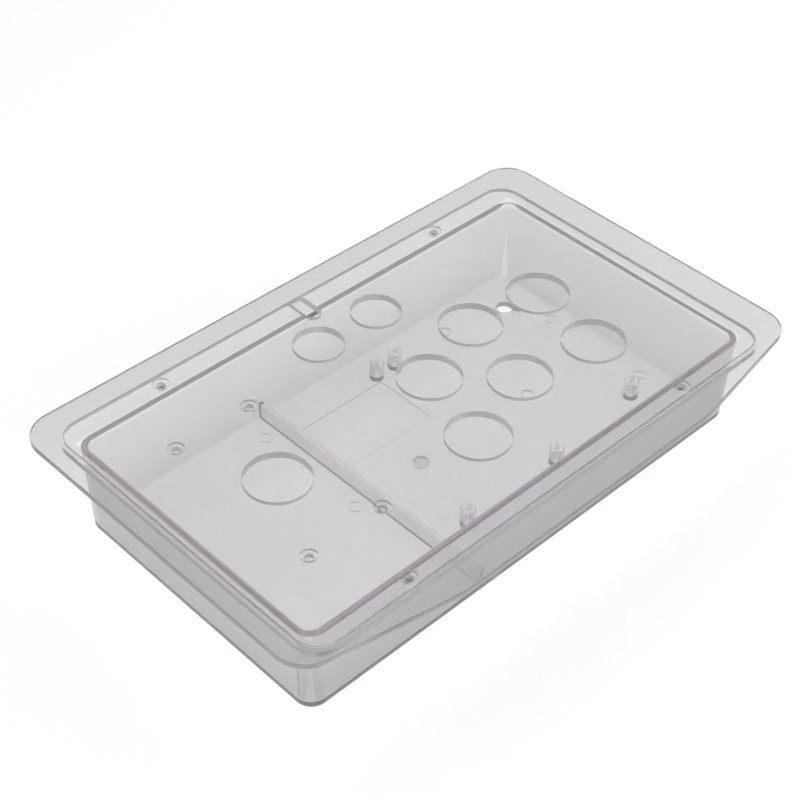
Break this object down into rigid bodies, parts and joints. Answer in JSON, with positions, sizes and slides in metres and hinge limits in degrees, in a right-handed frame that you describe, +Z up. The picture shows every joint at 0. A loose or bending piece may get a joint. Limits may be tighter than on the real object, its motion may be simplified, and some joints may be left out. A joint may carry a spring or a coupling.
{
  "type": "joystick controller enclosure",
  "caption": "Clear moulded enclosure for a joystick controller: a flanged shallow tub with a drop-in top panel cut out for a stick and push buttons.",
  "frame": {"origin": "under the middle of the flange's rectangle, in the plane of the floor's underside", "axes": "+X along the long side to the player's right, +Y away from the player, +Z up"},
  "size_m": [0.303, 0.194, 0.0495],
  "materials": {
    "tub": "clear moulded polycarbonate with a faint smoky tint, gloss",
    "panel": "clear moulded polycarbonate with a faint smoky tint, gloss"
  },
  "bodies": {
    "tub": {"tub": "tub"},
    "panel": {"top_panel": "panel"}
  },
  "joints": [
    {"name": "panel_lift", "type": "slide", "parent": "tub", "child": "panel", "axis": [0, 0, 1], "range_m": [0, 0.06]}
  ]
}
